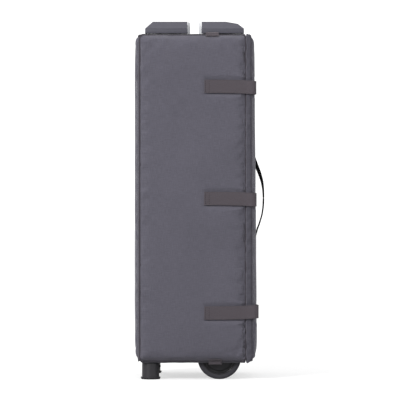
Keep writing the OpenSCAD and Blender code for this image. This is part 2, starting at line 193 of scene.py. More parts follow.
class Tree:
    """A node tree with short calls for adding and joining nodes"""

    def __init__(self, tree):
        self.tree = tree

    def add(self, kind, **values):
        made = self.tree.nodes.new(kind)
        for key, value in values.items():
            setattr(made, key, value)
        return made

    def join(self, value, target):
        """Joins another node's output to an input, or sets the input to a plain value"""
        if isinstance(value, bpy.types.NodeSocket):
            self.tree.links.new(value, target)
        else:
            target.default_value = value

    def put(self, made, **inputs):
        """Sets or joins a node's inputs by name, with _ for a space"""
        for key, value in inputs.items():
            self.join(value, made.inputs[key.replace("_", " ")])
        return made

    def calc(self, operation, *values, clamp=False):
        made = self.add("ShaderNodeMath", operation=operation, use_clamp=clamp)
        for value, target in zip(values, made.inputs):
            self.join(value, target)
        return made.outputs[0]

    def split(self, vector):
        return self.put(self.add("ShaderNodeSeparateXYZ"), Vector=vector).outputs

    def noise(self, vector, scale, detail=3.0, rough=0.5):
        made = self.add("ShaderNodeTexNoise")
        self.put(made, Vector=vector, Scale=scale, Detail=detail, Roughness=rough)
        return made.outputs["Fac"]

    def mottle(self, *values):
        """Noise that swings about nought"""
        return self.calc("SUBTRACT", self.noise(*values), 0.5)

    def stretch(self, vector, scale, turn=(0, 0, 0)):
        made = self.add("ShaderNodeMapping")
        self.put(made, Vector=vector, Scale=scale, Rotation=turn)
        return made.outputs["Vector"]

    def span(self, value, low, high, to_low=0.0, to_high=1.0):
        made = self.add("ShaderNodeMapRange")
        self.put(made, Value=value, From_Min=low, From_Max=high, To_Min=to_low, To_Max=to_high)
        return made.outputs["Result"]

    def tint(self, factor, a, b):
        made = self.add("ShaderNodeMix", data_type="RGBA")
        for index, value in ((0, factor), (6, a), (7, b)):
            self.join(value, made.inputs[index])
        return made.outputs[2]


def new_group(name, inputs, outputs):
    """An empty node group with sockets of (name, kind, default)"""
    group = bpy.data.node_groups.new(name, "ShaderNodeTree")
    for label, kind, default in inputs:
        socket = group.interface.new_socket(label, in_out="INPUT", socket_type=kind)
        if default is not None:
            socket.default_value = default
    for label, kind in outputs:
        group.interface.new_socket(label, in_out="OUTPUT", socket_type=kind)
    tree = Tree(group)
    return tree, tree.add("NodeGroupInput").outputs, tree.add("NodeGroupOutput").inputs


FLOAT, VECTOR = "NodeSocketFloat", "NodeSocketVector"


def weave_group():
    """Plain weave: threads over and under, slubs along both ways, and slow patches of shade"""
    tree, given, out = new_group("Plain weave", [
        ("Vector", VECTOR, None), ("Pitch", FLOAT, 0.0009), ("Slub", FLOAT, 0.5)],
        [("Height", FLOAT), ("Shade", FLOAT)])
    split = tree.split(given["Vector"])
    turns = tree.calc("DIVIDE", math.tau, given["Pitch"])
    across = tree.calc("ADD", split["X"], split["Y"])
    weft = tree.calc("SINE", tree.calc("MULTIPLY", across, turns))
    warp = tree.calc("SINE", tree.calc("MULTIPLY", split["Z"], turns))
    cross = tree.calc("MULTIPLY", weft, warp)
    joined = tree.put(tree.add("ShaderNodeCombineXYZ"), X=across, Y=0.0, Z=split["Z"]).outputs[0]
    along_x = tree.noise(tree.stretch(joined, (70, 1, 900)), 1.0, 2)
    along_z = tree.noise(tree.stretch(joined, (900, 1, 70)), 1.0, 2)
    slub = tree.calc("SUBTRACT", tree.calc("ADD", along_x, along_z), 1.0)
    patches = tree.mottle(joined, 9.0, 4, 0.6)
    shade = tree.calc("MULTIPLY_ADD", slub, given["Slub"], tree.calc("MULTIPLY", patches, 0.35))
    tree.join(tree.calc("MULTIPLY_ADD", cross, 0.12, shade), out["Shade"])
    tree.join(tree.calc("MULTIPLY_ADD", slub, 0.8, cross), out["Height"])
    return tree.tree


def webbing_group():
    """Webbing in metres of UV: ribs across it, a chevron twill, and firmer edges"""
    tree, given, out = new_group("Ribbed webbing", [
        ("Vector", VECTOR, None), ("Rib", FLOAT, 0.0016), ("Width", FLOAT, 0.028)],
        [("Height", FLOAT), ("Shade", FLOAT)])
    split = tree.split(given["Vector"])
    half = tree.calc("MULTIPLY", given["Width"], 0.5)
    middle = tree.calc("ABSOLUTE", tree.calc("SUBTRACT", split["Y"], half))
    turns = tree.calc("DIVIDE", math.tau, given["Rib"])
    rib = tree.calc("SINE", tree.calc("MULTIPLY", tree.calc("MULTIPLY_ADD", middle, 0.7, split["X"]), turns))
    yarn = tree.calc("SINE", tree.calc("MULTIPLY", split["Y"], math.tau / 0.0011))
    woven = tree.calc("MULTIPLY_ADD", rib, 0.6, tree.calc("MULTIPLY", yarn, 0.4))
    edge = tree.span(tree.calc("DIVIDE", middle, given["Width"]), 0.43, 0.47)
    fuzz = tree.mottle(tree.stretch(given["Vector"], (700, 700, 700)), 1.0, 3)
    tree.join(tree.calc("MULTIPLY_ADD", edge, 0.5, woven), out["Height"])
    worn = tree.calc("MULTIPLY_ADD", edge, -0.12, fuzz)
    tree.join(tree.calc("MULTIPLY_ADD", woven, 0.10, worn), out["Shade"])
    return tree.tree


def grain_group():
    """Moulded plastic: fine spark texture, faint flow marks and rubbed patches"""
    tree, given, out = new_group("Moulded grain", [
        ("Vector", VECTOR, None), ("Grain", FLOAT, 1400.0), ("Rubbed", FLOAT, 0.3)],
        [("Height", FLOAT), ("Shade", FLOAT), ("Gloss", FLOAT)])
    spark = tree.noise(given["Vector"], given["Grain"], 3, 0.6)
    flow = tree.mottle(tree.stretch(given["Vector"], (14, 14, 50)), 1.0, 3)
    along = tree.stretch(given["Vector"], (60, 60, 160), (0.4, 0.3, 0))
    rubs = tree.span(tree.noise(along, 1.0, 5, 0.7), 0.6, 0.8)
    tree.join(spark, out["Height"])
    tree.join(tree.calc("MULTIPLY_ADD", flow, 0.16, tree.calc("MULTIPLY", rubs, 0.08)), out["Shade"])
    tree.join(tree.calc("MULTIPLY", tree.calc("MULTIPLY", rubs, given["Rubbed"]), 0.5), out["Gloss"])
    return tree.tree


def dust_group():
    """Pale dust that settles on faces that look up, and low down near the floor"""
    tree, given, out = new_group("Settled dust", [
        ("Vector", VECTOR, None), ("Amount", FLOAT, 0.3)], [("Mask", FLOAT)])
    facing = tree.split(tree.add("ShaderNodeNewGeometry").outputs["Normal"])["Z"]
    upward = tree.span(facing, 0.3, 1.0)
    floor = tree.span(tree.split(given["Vector"])["Z"], 0.03, 0.0, 0.0, 0.7)
    patches = tree.span(tree.noise(given["Vector"], 60.0, 5, 0.65), 0.4, 0.75)
    mask = tree.calc("MULTIPLY", tree.calc("ADD", upward, floor, clamp=True), patches)
    tree.join(tree.calc("MULTIPLY", mask, given["Amount"]), out["Mask"])
    return tree.tree


# ---------------------------------------------------------------- materials

class Finish:
    """A new material with its shader, its coordinates and its effect groups"""

    def __init__(self, name, **sockets):
        self.made = bpy.data.materials.new(name)
        self.made.use_nodes = True
        self.tree = Tree(self.made.node_tree)
        self.shader = self.made.node_tree.nodes["Principled BSDF"]
        self.tree.put(self.shader, **sockets)
        coordinates = self.tree.add("ShaderNodeTexCoord").outputs
        self.object, self.uv = coordinates["Object"], coordinates["UV"]

    def group(self, name, **inputs):
        made = self.tree.add("ShaderNodeGroup", node_tree=bpy.data.node_groups[name])
        return self.tree.put(made, **inputs).outputs

    def colour(self, base, shade, dark=0.55, light=1.5):
        """The base colour, darker or lighter where shade is under or over nought"""
        shadow, bright = [c * dark for c in base[:3]] + [1], [min(c * light, 1) for c in base[:3]] + [1]
        mixed = self.tree.tint(self.tree.span(shade, -0.5, 0.5), shadow, bright)
        self.tree.join(mixed, self.shader.inputs["Base Color"])
        return mixed

    def dusty(self, mixed, amount, dust):
        mask = self.group("Settled dust", Vector=self.object, Amount=amount)["Mask"]
        self.tree.join(self.tree.tint(mask, mixed, dust), self.shader.inputs["Base Color"])

    def bump(self, height, strength, distance):
        made = self.tree.add("ShaderNodeBump")
        self.tree.put(made, Height=height, Strength=strength, Distance=distance)
        self.tree.join(made.outputs["Normal"], self.shader.inputs["Normal"])

    def rough(self, value, low, high):
        self.tree.join(self.tree.span(value, 0.0, 1.0, low, high), self.shader.inputs["Roughness"])


def cloth(name, colour, pitch, slub=0.5, sheen=0.25, depth=0.0003, dust=0.0):
    finish = Finish(name, Roughness=0.92, Sheen_Weight=sheen, Sheen_Roughness=0.45, Specular_IOR_Level=0.25)
    weave = finish.group("Plain weave", Vector=finish.object, Pitch=pitch, Slub=slub)
    mixed = finish.colour(linear(colour), weave["Shade"])
    if dust:
        finish.dusty(mixed, dust, (0.36, 0.35, 0.34, 1))
    finish.bump(weave["Height"], 0.45, depth)
    return finish.made


def webbing(name, colour, width, rib=0.0016, gloss=0.0, sheen=0.18):
    finish = Finish(name, Sheen_Weight=sheen, Sheen_Roughness=0.4, Specular_IOR_Level=sheen * 1.4)
    weave = finish.group("Ribbed webbing", Vector=finish.uv, Rib=rib, Width=width)
    finish.colour(linear(colour), weave["Shade"], 0.5, 1.6)
    finish.rough(weave["Height"], 0.88 - gloss, 0.72 - gloss)
    finish.bump(weave["Height"], 0.6, 0.0004)
    return finish.made


def moulded(name, colour, rough=0.5, grain=1400.0, depth=0.0001, rubbed=0.3, dust=0.04, shine=0.32):
    finish = Finish(name, Specular_IOR_Level=shine)
    spark = finish.group("Moulded grain", Vector=finish.object, Grain=grain, Rubbed=rubbed)
    mixed = finish.colour(linear(colour), spark["Shade"], 0.7, 1.35)
    finish.dusty(mixed, dust, (0.42, 0.41, 0.40, 1))
    finish.rough(spark["Gloss"], rough, rough - 0.25)
    finish.bump(spark["Height"], 0.3, depth)
    return finish.made


def powder_coat(name, colour):
    finish = Finish(name, Specular_IOR_Level=0.5, Coat_Weight=0.15, Coat_Roughness=0.3)
    peel = finish.tree.noise(finish.object, 420.0, 2, 0.4)
    spark = finish.group("Moulded grain", Vector=finish.object, Grain=900.0, Rubbed=0.4)
    finish.colour(linear(colour), spark["Shade"], 0.75, 1.15)
    finish.rough(spark["Gloss"], 0.42, 0.25)
    finish.bump(peel, 0.25, 0.0002)
    return finish.made


def zinc(name):
    finish = Finish(name, Metallic=1.0)
    brushed = finish.tree.noise(finish.tree.stretch(finish.object, (90, 90, 1800)), 1.0, 3, 0.6)
    finish.colour((0.60, 0.60, 0.61, 1), finish.tree.calc("SUBTRACT", brushed, 0.5), 0.75, 1.2)
    finish.rough(brushed, 0.28, 0.5)
    finish.bump(brushed, 0.15, 0.0001)
    return finish.made


def fuzzy(name, colour):
    """Loop tape: tiny curls all over"""
    finish = Finish(name, Roughness=1.0, Sheen_Weight=0.5, Sheen_Roughness=0.6, Specular_IOR_Level=0.1)
    curls = finish.tree.add("ShaderNodeTexVoronoi", feature="SMOOTH_F1")
    finish.tree.put(curls, Vector=finish.object, Scale=900.0, Randomness=1.0)
    finish.colour(linear(colour), finish.tree.calc("SUBTRACT", 0.6, curls.outputs["Distance"]), 0.4, 1.8)
    finish.bump(curls.outputs["Distance"], 0.8, 0.0006)
    return finish.made


def netting(name, colour, pitch=0.0022):
    """Open mesh: threads round small holes, which are see-through"""
    finish = Finish(name, Roughness=0.85, Specular_IOR_Level=0.25)
    split = finish.tree.split(finish.uv)
    turns = math.tau / pitch
    rows = finish.tree.calc("SINE", finish.tree.calc("MULTIPLY", split["X"], turns))
    columns = finish.tree.calc("SINE", finish.tree.calc("MULTIPLY", split["Y"], turns))
    holes = finish.tree.span(finish.tree.calc("MULTIPLY", rows, columns), 0.35, 0.5, 1.0, 0.0)
    finish.colour(linear(colour), finish.tree.mottle(finish.object, 300.0, 3), 0.7, 1.3)
    finish.tree.join(holes, finish.shader.inputs["Alpha"])
    return finish.made


class PLAYPEN_OT_finishes(bpy.types.Operator):
    """Mix every finish and lay the hard ones on the frame's own parts"""
    bl_idname = "playpen.finishes"
    bl_label = "Finishes"

    def execute(self, context):
        for build in (weave_group, webbing_group, grain_group, dust_group):
            build()
        settings = context.scene.playpen
        mattress, straps, hard = settings.mattress, settings.straps, settings.frame
        cloth("Mattress fabric", mattress.colour, 0.0009, dust=0.10)
        # A darker copy of the mattress fabric, 0.86 times its colour and with less dust: painted shade for
        # the fold strips and the panels' boxed edges, which are the same fabric turned away from the light
        cloth("Fold fabric", [c * 0.86 for c in mattress.colour], 0.0009, dust=0.05)
        cloth("Side fabric", hard.wall_colour, 0.0008)
        # Binding tape: its own brown-grey colour, darkened further as painted shade for the shadow lines
        # along the seams
        cloth("Binding tape", mattress.binding_colour, 0.0012, 0.25, 0.15, 0.0004)
        cloth("Thread", mattress.thread_colour, 0.0005, 0.2, 0.3, 0.0001)
        netting("Side netting", [c * 0.6 for c in hard.wall_colour])
        webbing("Strap webbing", straps.colour, 0.028)
        webbing("Carry webbing", straps.handle_colour, 0.025, 0.0019, 0.12, 0.05)
        webbing("Pull webbing", straps.colour, 0.024)
        fuzzy("Loop tape", (0.24, 0.235, 0.255))
        moulded("Corner plastic", hard.moulding_colour, 0.48)
        moulded("Button plastic", (0.26, 0.26, 0.27), 0.40)
        moulded("Foot plastic", hard.foot_colour, 0.46, dust=0.05, shine=0.28)
        moulded("Plug plastic", hard.tube_colour, 0.40)
        moulded("Rim plastic", hard.rim_colour, 0.20, 1000.0, 0.00006, dust=0.01, shine=0.22)
        moulded("Tyre tread", hard.tyre_colour, 0.60, 700.0, 0.00018, 0.1, 0.06, 0.25)
        powder_coat("Powder coat", hard.tube_colour)
        zinc("Zinc plate")
        for name, node in NODES.items():
            if SLOTS[name] in FINISH_OF_SLOT:
                for holder in node.material_slots:
                    holder.material = bpy.data.materials[FINISH_OF_SLOT[SLOTS[name]]]
        return {"FINISHED"}


# ---------------------------------------------------------------- workshop

def bare():
    """Object mode, with nothing selected"""
    if bpy.context.object and bpy.context.object.mode != "OBJECT":
        bpy.ops.object.mode_set(mode="OBJECT")
    bpy.ops.object.select_all(action="DESELECT")


def take(piece):
    """Makes the piece the only selected and the active one"""
    bare()
    piece.select_set(True)
    bpy.context.view_layer.objects.active = piece
    return piece


def named(name, *materials):
    """Names the new active piece and gives it its materials"""
    piece = bpy.context.object
    piece.name = piece.data.name = name
    piece.data.materials.clear()
    for material in materials:
        piece.data.materials.append(bpy.data.materials[material])
    return piece


def settle(piece):
    """Moves a piece's place, turn and scale into its mesh"""
    take(piece)
    bpy.ops.object.transform_apply(location=True, rotation=True, scale=True)
    return piece


def put(piece, turn=0):
    """Takes a piece made facing -Y, round the pack's centre line, to the side at that turn"""
    settle(piece)
    piece.location = CENTRE
    piece.rotation_euler.z = math.radians(turn)
    return settle(piece)


def finish_with(piece, kind, **values):
    """Adds a modifier and applies it"""
    take(piece)
    made = piece.modifiers.new(kind.title(), kind)
    for key, value in values.items():
        setattr(made, key, value)
    bpy.ops.object.modifier_apply(modifier=made.name)
    return piece


def bevel(piece, width, segments, angle):
    """Rounds the edges that are sharper than an angle in degrees"""
    return finish_with(piece, "BEVEL", width=width, segments=segments, limit_method="ANGLE",
                       angle_limit=math.radians(angle))


def smooth(piece, angle=None):
    """Smooth shading all over, or with sharp edges above an angle in degrees"""
    take(piece)
    if angle is None:
        bpy.ops.object.shade_smooth()
    else:
        bpy.ops.object.shade_smooth_by_angle(angle=math.radians(angle))
    return piece


@contextlib.contextmanager
def whole_mesh(piece):
    """Edit mode with all of the piece's mesh selected, and object mode again afterwards"""
    take(piece)
    bpy.ops.object.mode_set(mode="EDIT")
    bpy.ops.mesh.select_all(action="SELECT")
    yield
    bpy.ops.object.mode_set(mode="OBJECT")


def outward(piece):
    """Merges doubles and turns every face out"""
    with whole_mesh(piece):
        bpy.ops.mesh.remove_doubles(threshold=DOUBLE)
        bpy.ops.mesh.normals_make_consistent(inside=False)
    return piece


def as_one(pieces, name):
    """Joins pieces into one"""
    take(pieces[0])
    for piece in pieces[1:]:
        piece.select_set(True)
    if len(pieces) > 1:
        bpy.ops.object.join()
    joined = bpy.context.object
    joined.name = joined.data.name = name
    return joined


def points_of(piece):
    flat = np.zeros(len(piece.data.vertices) * 3)
    piece.data.vertices.foreach_get("co", flat)
    return flat.reshape(-1, 3)


def set_points(piece, points):
    piece.data.vertices.foreach_set("co", np.asarray(points, float).ravel())
    piece.data.update()


def wander(points, scale, seed):
    """One slow random number from -1 to 1 for each point, the same each run"""
    shift = Vector((seed * 3.7, seed * 1.3, seed * 2.1))
    return np.array([noise.noise(Vector(p) * scale + shift) for p in points])


def grid(name, columns, rows, *materials):
    """A flat grid one metre square"""
    bare()
    bpy.ops.mesh.primitive_grid_add(x_subdivisions=columns, y_subdivisions=rows, size=1)
    return named(name, *materials)


def scale_uv(piece, across, up):
    """Stretches a piece's UV, so that it's in metres"""
    uvs = piece.data.uv_layers[0].data
    flat = np.zeros(len(uvs) * 2)
    uvs.foreach_get("uv", flat)
    uvs.foreach_set("uv", (flat.reshape(-1, 2) * (across, up)).ravel())


def run_of(points):
    """Each point's distance along the line through them all"""
    return np.concatenate([[0], np.cumsum(np.linalg.norm(np.diff(points, axis=0), axis=1))])


def ramp(value, reach=1):
    """From 0 to 1 over the reach"""
    return np.clip(value / reach, 0, 1)


def bell(distance, reach):
    """1 at no distance, falling away to either side"""
    return np.exp(-(distance / reach) ** 2)


def panel_block(name, low, high, cells, layers, *materials):
    """A closed block whose broad faces are a fine grid, facing -Y"""
    bare()
    size = high - low
    columns, rows = (round(length / cell) for length, cell in zip((size.x, size.z), cells))
    bpy.ops.mesh.primitive_grid_add(x_subdivisions=columns, y_subdivisions=rows, size=1,
                                    location=((low.x + high.x) / 2, low.y, (low.z + high.z) / 2),
                                    rotation=(math.pi / 2, 0, 0))
    piece = named(name, *materials)
    piece.scale = (size.x, size.z, 1)
    with whole_mesh(settle(piece)):
        for _ in range(layers):
            bpy.ops.mesh.extrude_region_move(TRANSFORM_OT_translate={"value": (0, size.y / layers, 0)})
    return outward(piece)


def rim_distance(points, low, high):
    """Each point's distance in from the panel's left, right, lower and upper rims"""
    x, z = points[:, 0], points[:, 2]
    return np.stack([x - low.x, high.x - x, z - low.z, high.z - z], axis=1)


def roll_depth(points, low, high, settings):
    """How far in from the outer plane the face has rolled, nearing the seams"""
    total = 0
    side, end = settings.seam_in, settings.seam_end
    rolls = ((0.010, side), (0.010, side), (0.012, end), (0.014, end))
    for distance, (reach, depth) in zip(rim_distance(points, low, high).T, rolls):
        total = total + (depth * (1 - np.sqrt(1 - ramp(1 - distance / reach) ** 2))) ** 3
    return np.cbrt(total)


def slumped(side, height, settings):
    """How far a side's face stands out at a height: only the handle side does, more towards its foot"""
    low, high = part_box("front_cover")
    return (settings.slump if side == "right" else 0) * ramp(high.z - height, high.z - low.z)


def round_corners(points, low, high, radius):
    """Draws a panel's square corners in to rounded ones"""
    middle = np.array([(low.x + high.x) / 2, (low.z + high.z) / 2])
    reach = np.array([(high.x - low.x) / 2, (high.z - low.z) / 2]) - radius
    flat = points[:, [0, 2]] - middle
    past = ramp(np.abs(flat) - reach, radius)
    drawn = past * np.sqrt(1 - past[:, ::-1] ** 2 / 2)
    shaped = np.where(np.abs(flat) > reach, np.sign(flat) * (reach + drawn * radius), flat)
    points[:, [0, 2]] = shaped + middle
    return points


def swell(piece, held, pressure, slack, cap, frames=18):
    """Blows the cloth up between its held points, and keeps every point within cap of where it was"""
    rest = points_of(piece)
    set_points(piece, rest + 0.0003 * wander(rest, 60, 5)[:, None])
    group = piece.vertex_groups.new(name="sewn")
    group.add([int(i) for i in np.nonzero(held)[0]], 1.0, "REPLACE")
    take(piece)
    sim = piece.modifiers.new("Cloth", "CLOTH")
    values = {"quality": 6, "mass": 0.25, "vertex_group_mass": "sewn", "use_pressure": True,
              "uniform_pressure_force": pressure, "shrink_min": -slack, "shrink_max": -slack,
              "tension_stiffness": 25, "compression_stiffness": 25, "bending_stiffness": 0.1}
    for key, value in values.items():
        setattr(sim.settings, key, value)
    sim.settings.effector_weights.gravity = 0
    sim.point_cache.frame_start, sim.point_cache.frame_end = 1, frames
    for step in range(1, frames + 1):
        bpy.context.scene.frame_set(step)
    bpy.ops.object.modifier_apply(modifier=sim.name)
    bpy.context.scene.frame_set(1)
    moved = points_of(piece) - rest
    reach = np.linalg.norm(moved, axis=1, keepdims=True) + 1e-9
    set_points(piece, rest + moved / reach * cap * np.tanh(reach / cap))
    piece.vertex_groups.clear()
    return piece


def stitch_row(name, start, end, pitch, normal, thread=0.0005):
    """A straight row of stitches from start to end, lying on a face with that normal"""
    start, end, normal = Vector(start), Vector(end), Vector(normal)
    along = (end - start).normalized()
    bare()
    bpy.ops.mesh.primitive_cylinder_add(vertices=6, radius=1, depth=1, end_fill_type="TRIFAN")
    piece = named(name, "Thread")
    points = points_of(piece)
    tips = np.linalg.norm(points[:, :2], axis=1) < 0.1
    points[~tips, 2] *= 0.62
    across = along.cross(normal)
    shape = Matrix((across * thread, normal * thread * 0.8, along * pitch * 0.78)).transposed()
    middle = start + along * pitch / 2 + normal * thread * 0.25
    set_points(piece, points @ np.array(shape).T + np.array(middle))
    count = max(1, int((end - start).length / pitch))
    return finish_with(piece, "ARRAY", count=count, use_relative_offset=False, use_constant_offset=True,
                       constant_offset_displace=along * ((end - start).length / count))


def stitch_box(name, corner, first, second, normal, pitch):
    """A box of stitches with a cross in it, from a corner and the box's two edges"""
    corner, first, second = Vector(corner), Vector(first), Vector(second)
    ends = (corner, corner + first, corner + second, corner + first + second)
    rows = [stitch_row("box_row", ends[a], ends[b], pitch, normal)
            for a, b in ((0, 1), (2, 3), (0, 2), (1, 3), (0, 3), (2, 1))]
    return put(as_one(rows, name))


def ribbon(name, path, width, thickness, material, up=(0, 0, 1), cell=0.0025, rows=8, twist=None):
    """Webbing of that width whose middle line follows the path's points, with its UV in metres"""
    path = np.array(path, float)
    along = run_of(path)
    length = along[-1]

    def spot(at):
        return np.stack([np.interp(at, along, path[:, k]) for k in range(3)], axis=1)

    piece = grid(name, max(4, round(length / cell)), rows, material)
    points = points_of(piece)
    share, side = points[:, 0] + 0.5, points[:, 1]
    at, step = share * length, 0.001
    span = spot(np.minimum(at + step, length)) - spot(np.maximum(at - step, 0))
    tangent = span / np.linalg.norm(span, axis=1, keepdims=True)
    across = np.array(up, float) - (tangent @ np.array(up, float))[:, None] * tangent
    across /= np.linalg.norm(across, axis=1, keepdims=True)
    if twist is not None:
        angle = twist(share)[:, None]
        across = across * np.cos(angle) + np.cross(tangent, across) * np.sin(angle)
    set_points(piece, spot(at) + across * (side * width)[:, None])
    scale_uv(piece, length, width)
    finish_with(piece, "SOLIDIFY", thickness=thickness, offset=0, use_even_offset=True)
    return smooth(bevel(piece, thickness * 0.4, 2, 50), 40)


def arc(centre, radius, start, end, steps=8):
    """Points on an arc in the XY plane, with its angles in degrees"""
    angles = np.radians(np.linspace(start, end, steps))
    return [(centre[0] + radius * math.cos(a), centre[1] + radius * math.sin(a)) for a in angles]


# ---------------------------------------------------------------- mattress

class PLAYPEN_OT_panels(bpy.types.Operator):
    """Make the four padded panels, swelled between their seams, with their binding and stitching"""
    bl_idname = "playpen.panels"
    bl_label = "Mattress panels"

    gathers = {"front": (0.35, 1.0, 0.55, 0.30), "left": (0.35, 0.35, 0.55, 0.30),
               "back": (0.35, 0.35, 0.55, 0.30), "right": (0.9, 0.35, 0.55, 0.30)}
    cells, layers = (0.0105, 0.0065), 3
    pulls = ((1, 0.16, 0.045), (-1, 0.22, 0.055), (1, 0.34, 0.030), (-1, 0.40, 0.034))

    def seam_box(self, side, turn, settings):
        """The box whose rim is the outer face's seam, wider than the panel where it meets a fold"""
        low, high = local_box(f"{side}_cover", turn)
        past_low, past_high = (0.0008 - settings.overhang * hinged for hinged in HINGED[side])
        return low + Vector((past_low, 0, settings.rise)), high - Vector((past_high, 0, settings.drop))

    @staticmethod
    def face(side, points, low, high, settings):
        """The outer face where it has rolled in to its seams, slumped out on the handle side"""
        inner = rim_distance(points, low, high).min(axis=1)
        share = 0.4 + 0.6 * (1 - np.exp(-np.maximum(inner, 0) / 0.012))
        rolled = low.y + roll_depth(points, low, high, settings)
        return rolled - share * slumped(side, points[:, 2], settings)

    def pad(self, side, turn, settings):
        low, high = local_box(f"{side}_cover", turn)
        seam_low, seam_high = self.seam_box(side, turn, settings)
        depth, steps = high.y - low.y, self.layers
        piece = panel_block(f"{side}_pad", low, high, self.cells, steps, "Mattress fabric", "Fold fabric")
        points = points_of(piece)
        across = (points[:, 0] - low.x) / (high.x - low.x)
        points[:, 0] = low.x + (across - 0.7 * np.sin(math.tau * across) / math.tau) * (high.x - low.x)
        layer = np.round((points[:, 1] - low.y) / depth * steps)
        edge = rim_distance(points, low, high).min(axis=1) < 0.0001
        share = (points - np.array(low)) / np.array(high - low)
        seam = np.array(seam_low) + share * np.array(seam_high - seam_low)
        seam = round_corners(seam, seam_low, seam_high, settings.corner)
        margin = Vector((0.0004, 0, 0.0004))
        box = round_corners(points.copy(), low + margin, high - margin, 0.002)
        spread = ramp(layer, steps - 1)[:, None] ** 0.6
        shaped = seam * (1 - spread) + box * spread
        rolled = self.face(side, seam, seam_low, seam_high, settings)
        inner = rim_distance(seam, seam_low, seam_high).min(axis=1)
        lifted, back = rolled - settings.puff * 0.85 * (1 - np.exp(-inner / 0.020)), high.y - 0.0006
        shaped[:, 1] = np.where(edge, rolled + (back - rolled) * layer / steps,
                                np.where(layer == 0, lifted, back))
        set_points(piece, shaped)
        # The boxed edge faces take the darker copy of the mattress fabric, as painted shade
        for face in piece.data.polygons:
            face.material_index = int(all(edge[v] for v in face.vertices))
        swell(piece, edge & ((layer == 0) | (layer == steps)), 3.5, 0.03, settings.puff * 0.55)
        finish_with(piece, "SUBSURF", levels=2, render_levels=2)
        self.gather(piece, side, seam_low, seam_high, settings)
        smooth(piece)
        put(piece, turn)
        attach(piece, BODY_OF_SIDE[side])
        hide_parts(f"{side}_cover", f"{side}_foam", f"{side}_board")

    def gather(self, piece, side, low, high, settings):
        """Gathers along the seams, slow unevenness, and the straps' pull on the faces under them"""
        points = points_of(piece)
        rims = rim_distance(points, low, high)
        rolled = self.face(side, points, low, high, settings)
        plane = low.y + 0.0001 - slumped(side, points[:, 2], settings)
        skin = 0.0012
        outer = ramp(rolled + skin - points[:, 1], skin) * (rims.min(axis=1) > -0.0001)
        move = 0.0006 * wander(points * (1, 0, 1), 16, 3 + len(side))
        along = (points[:, 2], points[:, 2], points[:, 0], points[:, 0])
        for index, share in enumerate(self.gathers[side]):
            inward = np.maximum(rims[:, index], 0)
            streaks = np.stack([along[index], inward * 0.12, points[:, 2] * 0 + index], axis=1)
            ripple = wander(streaks, 88, index + len(side))
            long = 0.0075 + 0.010 * wander(streaks * (1, 0, 1), 31, index + 9)
            nick = bell(ripple, 0.13) * bell(inward, np.maximum(long, 0.003))
            move += settings.pucker * share * (0.8 * np.exp(-(inward / 0.011) ** 1.4) * ripple - nick)
            furrow = bell(inward - 0.0026 - 0.003 * share * ripple, 0.0017)
            move -= settings.crease * (0.7 + 0.5 * share) * furrow
        for name in STRAPS if side in ("front", "right") else ():
            strap_low, strap_high = local_box(f"strap_{name}")
            middle, half = (strap_low.z + strap_high.z) / 2, (strap_high.z - strap_low.z) / 2
            below = strap_low.z - 0.0012 - points[:, 2]
            beside = np.abs(points[:, 2] - middle) - half
            sewn_reach, spread, soft = 0.066, 0.004, 0.0025
            if side == "front":
                under, pull = points[:, 0] - strap_low.x + spread, points[:, 0] - high.x
            else:
                under, pull = low.x + sewn_reach - points[:, 0], low.x - points[:, 0]
            press = 1 / (1 + np.exp((beside - spread) / soft)) * ramp(under, 0.01)
            self.flatten(points, outer, press, plane)
            move *= 1 - press
            move -= 0.0016 * bell(below, 0.0016) * ramp(press * 3)
            for sign, slope, reach in self.pulls:
                line = middle + sign * (half + spread - pull * slope)
                ridge, width = 0.0014, 0.0028
                move += ridge * bell(points[:, 2] - line, width) * ramp(1 + pull / reach)
        if side == "right":
            sewn_low, sewn_high = local_box("handle_anchors", 90)
            middle, half = (sewn_low.z + sewn_high.z) / 2, (sewn_high.z - sewn_low.z) / 2
            height = np.abs(points[:, 2] - middle)
            press = (1 / (1 + np.exp((np.abs(points[:, 0]) - sewn_high.x - 0.001) / 0.002))
                     * ramp(height - half + 0.048, 0.012) * ramp(half + 0.006 - height, 0.005))
            self.flatten(points, outer, press, plane)
            move *= 1 - press
        points[:, 1] -= move * outer
        set_points(piece, points)

    @staticmethod
    def flatten(points, outer, press, face):
        """Presses the outer face in to a plane, where press is near one"""
        pressed = np.maximum(points[:, 1], points[:, 1] * (1 - press) + face * press)
        points[:, 1] = np.where(outer > 0, pressed, points[:, 1])

    def binding(self, side, turn, settings):
        """A tape folded over the seam all round the outer face"""
        low, high = self.seam_box(side, turn, settings)
        radius = settings.corner
        corners = ((high.x - radius, low.z + radius, -90), (high.x - radius, high.z - radius, 0),
                   (low.x + radius, high.z - radius, 90), (low.x + radius, low.z + radius, 180))
        outline = [((low.x + high.x) / 2, low.z)]
        for x, z, start in corners:
            outline += arc((x, z), radius, start, start + 90)
        flat = np.array(outline + outline[:1])
        along = run_of(flat)
        at = np.linspace(0, along[-1], round(along[-1] / 0.003))
        path = np.stack([np.interp(at, along, flat[:, 0]), at * 0, np.interp(at, along, flat[:, 1])], axis=1)
        waver = 0.0016 * wander(path, 42, len(side)) + 0.0007 * wander(path, 150, len(side))
        path[:, 1] = self.face(side, path, low, high, settings) + waver * 0.4
        path += np.array(((0.5, 0, 0.3),)) * waver[:, None]
        piece = ribbon(f"{side}_binding", path, settings.binding_w, settings.binding_t, "Binding tape",
                       up=(0, 1, 0), cell=0.004, rows=3, twist=lambda share: share * 0 + math.pi / 2)
        put(piece, turn)
        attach(piece, BODY_OF_SIDE[side])

